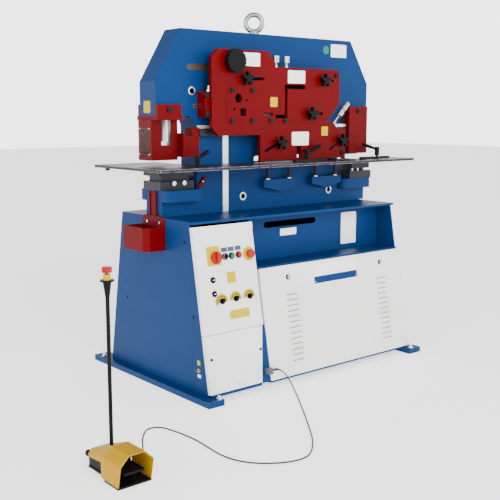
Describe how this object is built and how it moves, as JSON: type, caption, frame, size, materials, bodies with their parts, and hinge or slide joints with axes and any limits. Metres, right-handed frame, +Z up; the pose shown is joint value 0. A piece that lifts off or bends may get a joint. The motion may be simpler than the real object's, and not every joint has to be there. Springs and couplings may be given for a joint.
{
  "type": "hydraulic ironworker",
  "caption": "Floor-standing hydraulic ironworker with punch, shear and notching stations on a tall frame over a sloping cabinet, with a work table, door controls and a corded foot pedal.",
  "frame": {"origin": "floor-level centre of the four anchor holes in the two floor rails", "axes": "+X along the machine from the punch end to the notch end, +Y from the operator's side to the back, +Z up"},
  "size_m": [2.551, 1.818, 1.952],
  "materials": {
    "blue_paint": "satin enamel",
    "grey_paint": "fine textured enamel",
    "red_paint": "gloss enamel",
    "dark_steel": "blackened, oiled",
    "bright_steel": "ground and plated",
    "black_plastic": "moulded, matt",
    "red_plastic": "moulded, gloss",
    "green_plastic": "moulded, gloss",
    "yellow_paint": "gloss enamel",
    "clear_plastic": "clear sheet",
    "grey_cable": "matt sheath"
  },
  "bodies": {
    "machine": {"back_plate": "blue_paint", "bar_insert": "red_paint", "bright_fixings": "bright_steel", "cabinet_shell": "blue_paint", "cable_glands": "black_plastic", "cylinders": "bright_steel", "dark_screws": "dark_steel", "die_holder": "dark_steel", "floor_rails": "blue_paint", "foot_cable": "grey_cable", "frame_closer": "blue_paint", "front_band": "blue_paint", "front_panel": "grey_paint", "front_plate": "blue_paint", "guard_window": "clear_plastic", "guide_strips": "bright_steel", "inner_units": "dark_steel", "lifting_eye": "bright_steel", "lower_cover": "grey_paint", "notch_die": "dark_steel", "notch_guard": "red_paint", "pedal_base": "black_plastic", "pedal_hood": "yellow_paint", "pedal_post": "black_plastic", "punch_guard": "red_paint", "ram_bracket": "red_paint", "shear_plate": "red_paint", "slug_bin": "red_paint", "slug_chute": "red_paint", "stripper": "red_paint", "support_brackets": "blue_paint", "work_table": "dark_steel"},
    "punch": {"punch_ram": "bright_steel"},
    "shear": {"shear_beam": "dark_steel", "notch_ram": "dark_steel"},
    "door": {"electric_door": "grey_paint", "door_fittings": "black_plastic"},
    "main_switch": {"main_switch": "red_plastic"},
    "start_button": {"start_button": "green_plastic"},
    "stop_button": {"stop_button": "red_plastic"},
    "panel_estop": {"panel_estop": "red_plastic"},
    "selector_1": {"selector_1": "black_plastic"},
    "selector_2": {"selector_2": "black_plastic"},
    "selector_3": {"selector_3": "black_plastic"},
    "star_knob_1": {"star_knob_1": "black_plastic"},
    "star_knob_2": {"star_knob_2": "black_plastic"},
    "star_knob_3": {"star_knob_3": "black_plastic"},
    "star_knob_4": {"star_knob_4": "black_plastic"},
    "star_knob_5": {"star_knob_5": "black_plastic"},
    "handwheel": {"handwheel": "black_plastic"},
    "hold_screw_1": {"hold_screw_1": "bright_steel"},
    "hold_screw_2": {"hold_screw_2": "bright_steel"},
    "hold_screw_3": {"hold_screw_3": "bright_steel"},
    "middle_stop": {"middle_stop": "dark_steel"},
    "right_stop": {"right_stop": "dark_steel"},
    "middle_lever": {"middle_lever": "black_plastic"},
    "right_lever": {"right_lever": "black_plastic"},
    "left_lever": {"left_lever": "black_plastic"},
    "treadle": {"treadle": "black_plastic"},
    "post_estop": {"post_estop": "red_plastic"}
  },
  "joints": [
    {"name": "punch_stroke", "type": "slide", "parent": "machine", "child": "punch", "axis": [0, 0, -1], "range_m": [0, 0.07]},
    {"name": "shear_stroke", "type": "slide", "parent": "machine", "child": "shear", "axis": [0, 0, -1], "range_m": [0, 0.04]},
    {"name": "door_hinge", "type": "hinge", "parent": "machine", "child": "door", "pos_m": [-0.366, -0.39671, 0.594], "axis": [0, 0.1749, 0.9846], "range_deg": [0, 100]},
    {"name": "main_switch_turn", "type": "hinge", "parent": "door", "child": "main_switch", "pos_m": [-0.62, -0.38415, 0.699], "axis": [0, -0.9846, 0.1749], "range_deg": [-90, 0]},
    {"name": "start_press", "type": "slide", "parent": "door", "child": "start_button", "axis": [0, 0.9846, -0.1749], "range_m": [0, 0.004]},
    {"name": "stop_press", "type": "slide", "parent": "door", "child": "stop_button", "axis": [0, 0.9846, -0.1749], "range_m": [0, 0.004]},
    {"name": "panel_estop_press", "type": "slide", "parent": "door", "child": "panel_estop", "axis": [0, 0.9846, -0.1749], "range_m": [0, 0.006]},
    {"name": "selector_1_turn", "type": "hinge", "parent": "door", "child": "selector_1", "pos_m": [-0.612, -0.42217, 0.485], "axis": [0, -0.9846, 0.1749], "range_deg": [-60, 60]},
    {"name": "selector_2_turn", "type": "hinge", "parent": "door", "child": "selector_2", "pos_m": [-0.525, -0.42181, 0.487], "axis": [0, -0.9846, 0.1749], "range_deg": [-60, 60]},
    {"name": "selector_3_turn", "type": "hinge", "parent": "door", "child": "selector_3", "pos_m": [-0.436, -0.42164, 0.488], "axis": [0, -0.9846, 0.1749], "range_deg": [-60, 60]},
    {"name": "star_knob_1_turn", "type": "hinge", "parent": "machine", "child": "star_knob_1", "pos_m": [-0.246, -0.16, 1.585], "axis": [0, -1, 0], "continuous": true},
    {"name": "star_knob_2_turn", "type": "hinge", "parent": "machine", "child": "star_knob_2", "pos_m": [0.326, -0.16, 1.59], "axis": [0, -1, 0], "continuous": true},
    {"name": "star_knob_3_turn", "type": "hinge", "parent": "machine", "child": "star_knob_3", "pos_m": [0.225, -0.16, 1.403], "axis": [0, -1, 0], "continuous": true},
    {"name": "star_knob_4_turn", "type": "hinge", "parent": "machine", "child": "star_knob_4", "pos_m": [-0.004, -0.16, 1.244], "axis": [0, -1, 0], "continuous": true},
    {"name": "star_knob_5_turn", "type": "hinge", "parent": "machine", "child": "star_knob_5", "pos_m": [0.476, -0.16, 1.25], "axis": [0, -1, 0], "continuous": true},
    {"name": "handwheel_turn", "type": "hinge", "parent": "machine", "child": "handwheel", "pos_m": [-0.33, -0.16, 1.672], "axis": [0, -1, 0], "continuous": true},
    {"name": "hold_screw_1_turn", "type": "hinge", "parent": "machine", "child": "hold_screw_1", "pos_m": [-0.02, -0.15, 1.652], "axis": [0, 0, 1], "continuous": true},
    {"name": "hold_screw_2_turn", "type": "hinge", "parent": "machine", "child": "hold_screw_2", "pos_m": [0.055, -0.15, 1.652], "axis": [0, 0, 1], "continuous": true},
    {"name": "hold_screw_3_turn", "type": "hinge", "parent": "machine", "child": "hold_screw_3", "pos_m": [0.424, -0.15, 1.346], "axis": [0.7071, 0, 0.7071], "continuous": true},
    {"name": "middle_stop_slide", "type": "slide", "parent": "machine", "child": "middle_stop", "axis": [0, -1, 0], "range_m": [0, 0.06]},
    {"name": "right_stop_slide", "type": "slide", "parent": "machine", "child": "right_stop", "axis": [0, -1, 0], "range_m": [0, 0.06]},
    {"name": "middle_lever_turn", "type": "hinge", "parent": "middle_stop", "child": "middle_lever", "pos_m": [0.185, -0.188, 1.15], "axis": [0, 0, 1], "range_deg": [-120, 5]},
    {"name": "right_lever_turn", "type": "hinge", "parent": "right_stop", "child": "right_lever", "pos_m": [0.768, -0.188, 1.15], "axis": [0, 0, 1], "range_deg": [-10, 100]},
    {"name": "left_lever_turn", "type": "hinge", "parent": "machine", "child": "left_lever", "pos_m": [-0.595, -0.205, 1.138], "axis": [0, 0, 1], "range_deg": [-110, 25]},
    {"name": "treadle_press", "type": "hinge", "parent": "machine", "child": "treadle", "pos_m": [-1.51, -0.912, 0.052], "axis": [1, 0, 0], "range_deg": [0, 9]},
    {"name": "post_estop_press", "type": "slide", "parent": "machine", "child": "post_estop", "axis": [0, 0, -1], "range_m": [0, 0.006]}
  ]
}
